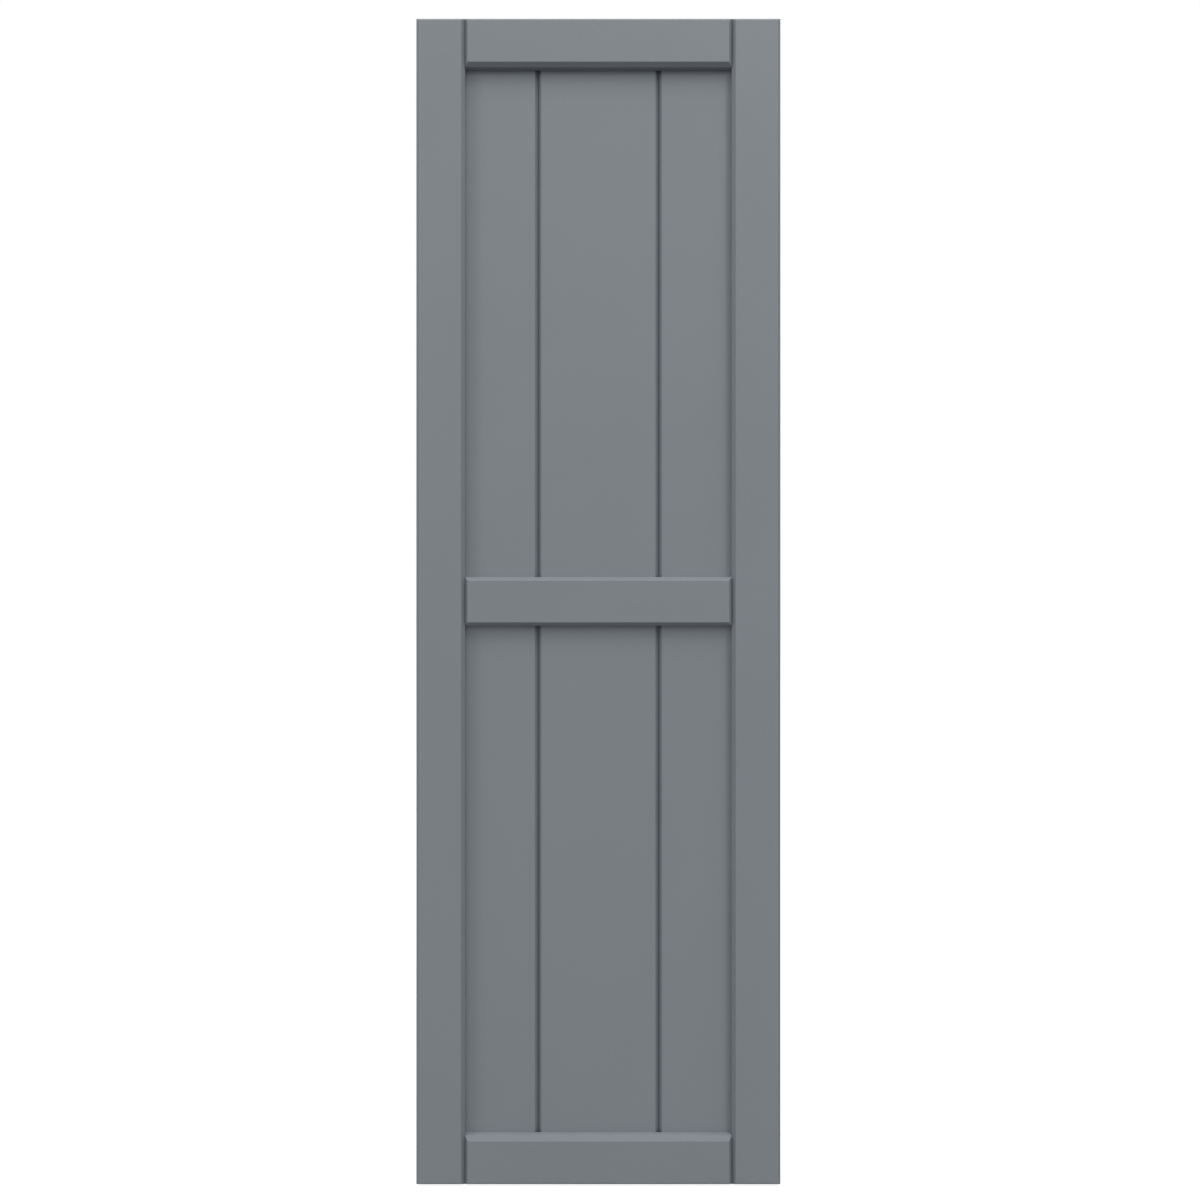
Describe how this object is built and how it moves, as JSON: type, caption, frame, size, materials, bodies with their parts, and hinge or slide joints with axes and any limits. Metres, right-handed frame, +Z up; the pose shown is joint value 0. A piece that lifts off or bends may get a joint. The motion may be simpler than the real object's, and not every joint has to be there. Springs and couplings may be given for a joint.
{
  "type": "framed board and batten shutter",
  "caption": "Painted exterior window shutter: V-jointed boards behind a chamfered frame of stiles and rails with equal upper and lower panels, for fixing flat on a wall beside a window.",
  "frame": {"origin": "centre of the flat back, on the plane of the wall that the shutter is fixed to", "axes": "+X across the shutter, to the right as seen from the front; +Z up; +Y into the wall, so the face looks along -Y"},
  "size_m": [0.381, 0.0254, 1.2192],
  "materials": {
    "board_paint": "satin blue-grey paint on smooth cellular plastic",
    "frame_paint": "satin blue-grey paint on smooth cellular plastic"
  },
  "bodies": {
    "root": {"left_board": "board_paint", "centre_board": "board_paint", "right_board": "board_paint", "left_stile": "frame_paint", "right_stile": "frame_paint", "top_rail": "frame_paint", "middle_rail": "frame_paint", "bottom_rail": "frame_paint"}
  },
  "joints": []
}
